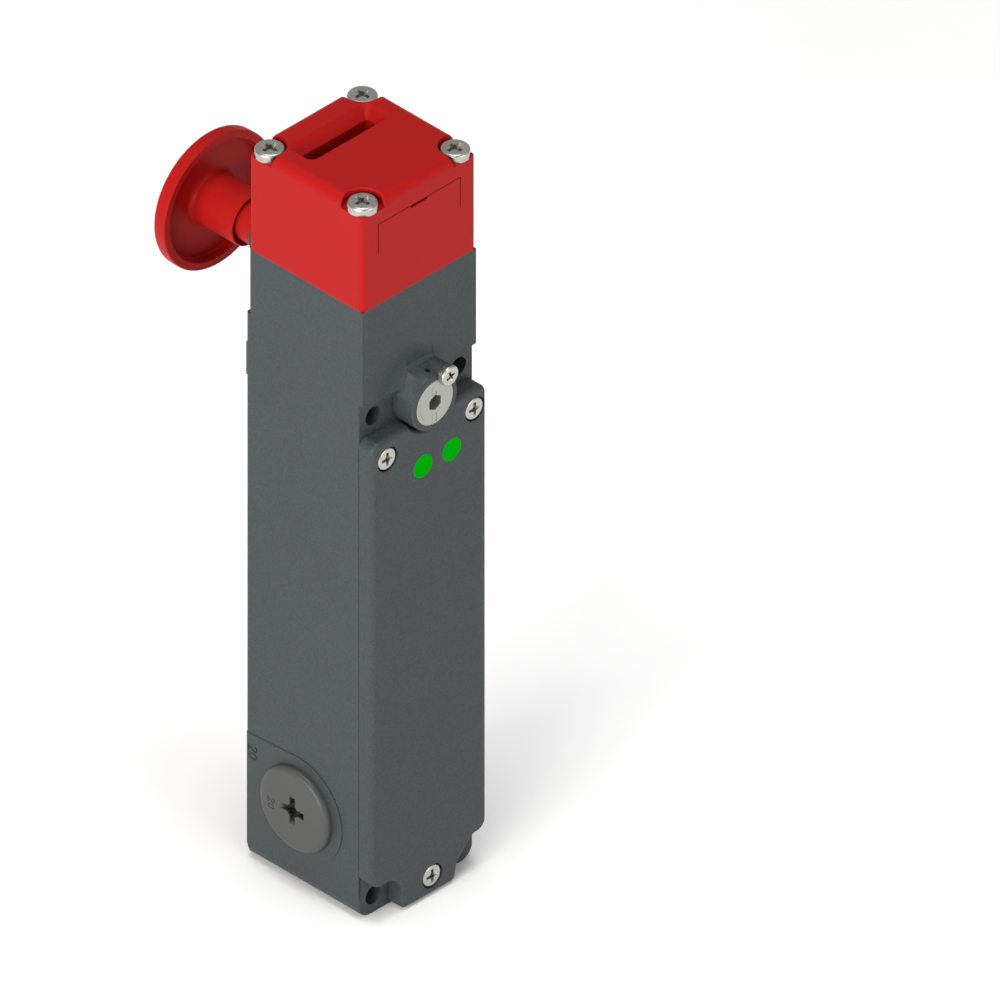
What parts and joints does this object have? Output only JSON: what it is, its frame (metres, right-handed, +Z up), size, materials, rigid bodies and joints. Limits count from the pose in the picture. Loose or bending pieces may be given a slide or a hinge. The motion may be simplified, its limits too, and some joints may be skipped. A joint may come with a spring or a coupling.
{
  "type": "guard locking switch",
  "caption": "Slim upright guard locking switch with a slotted red head, front cover with indicator lenses, release spindle in a round boss and a rear mushroom escape button.",
  "frame": {"origin": "centre of the head's axis on the housing's flat underside", "axes": "+Z up along the housing to the head, -Y out of the front cover, +Y towards the mushroom button, +X to the right seen from the front"},
  "size_m": [0.0448, 0.0831, 0.2171],
  "materials": {
    "grey_casting": "fine-textured grey powder coat on a die casting",
    "grey_cover": "fine-textured grey powder coat",
    "red_head": "satin red moulding",
    "red_knob": "satin red moulding",
    "zinc_steel": "bright zinc plate",
    "nickel_disc": "turned face, nickel plate",
    "bright_steel": "ground steel",
    "dark_steel": "blackened steel",
    "grey_bushing": "moulded grey, matt",
    "plug_plastic": "moulded grey with fine grain",
    "black_rubber": "matt",
    "black_plastic": "moulded",
    "natural_plastic": "moulded, undyed",
    "contact_brass": "stamped",
    "copper_winding": "enamelled wire",
    "green_board": "lacquered circuit board",
    "green_lens": "tinted lens, even and bright"
  },
  "bodies": {
    "switch_body": {"housing": "grey_casting", "cover": "grey_cover", "cover_gasket": "black_rubber", "cover_screws": "zinc_steel", "head": "red_head", "head_gasket": "black_rubber", "head_screws": "zinc_steel", "head_slot_plug": "red_head", "cam_axle": "bright_steel", "axle_retainers": "black_plastic", "push_rod_spring": "bright_steel", "guard_contact_block": "black_plastic", "guard_fixed_contacts": "contact_brass", "lock_contact_block": "black_plastic", "lock_fixed_contacts": "contact_brass", "lock_spring": "bright_steel", "solenoid_yoke": "zinc_steel", "solenoid_bobbin": "natural_plastic", "solenoid_winding": "copper_winding", "solenoid_core": "bright_steel", "release_seal_ring": "black_rubber", "release_block_screw": "zinc_steel", "escape_bushing": "grey_bushing", "led_board": "green_board", "led_lenses": "green_lens", "terminal_block": "natural_plastic", "terminal_screws": "zinc_steel", "earth_screw": "zinc_steel", "conduit_plug_left": "plug_plastic", "conduit_plug_right": "plug_plastic", "conduit_plug_seals": "black_rubber"},
    "cam": {"cam_wheel": "natural_plastic"},
    "plunger": {"push_rod": "bright_steel", "guard_contact_bridge": "contact_brass"},
    "lock": {"lock_slider": "bright_steel", "armature": "bright_steel", "lock_contact_rod": "bright_steel", "lock_contact_bridge": "contact_brass"},
    "release": {"release_spindle": "nickel_disc"},
    "escape": {"escape_knob": "red_knob", "escape_shaft": "red_knob", "escape_circlip": "dark_steel", "escape_seal_ring": "black_rubber"}
  },
  "joints": [
    {"name": "release_turn", "type": "hinge", "parent": "switch_body", "child": "release", "pos_m": [0, -0.0255, 0.1513], "axis": [0, 1, 0], "range_deg": [0, 180]},
    {"name": "escape_push", "type": "slide", "parent": "switch_body", "child": "escape", "axis": [0, -1, 0], "range_m": [0, 0.0045]},
    {"name": "cam_turn", "type": "hinge", "parent": "switch_body", "child": "cam", "pos_m": [0, 0, 0.1966], "axis": [-1, 0, 0], "range_deg": [0, 50]},
    {"name": "plunger_travel", "type": "slide", "parent": "switch_body", "child": "plunger", "axis": [0, 0, -1], "range_m": [0, 0.0035], "stiffness_N_per_m": 300, "springref_m": -0.002, "deforming": ["push_rod_spring"]},
    {"name": "lock_travel", "type": "slide", "parent": "switch_body", "child": "lock", "axis": [0, 0, 1], "range_m": [0, 0.0035], "stiffness_N_per_m": 300, "springref_m": -0.002, "deforming": ["lock_spring"]}
  ],
  "couplings": [
    {"joint": "cam_turn", "follows": "plunger_travel", "rad_per_m": 249.31}
  ]
}
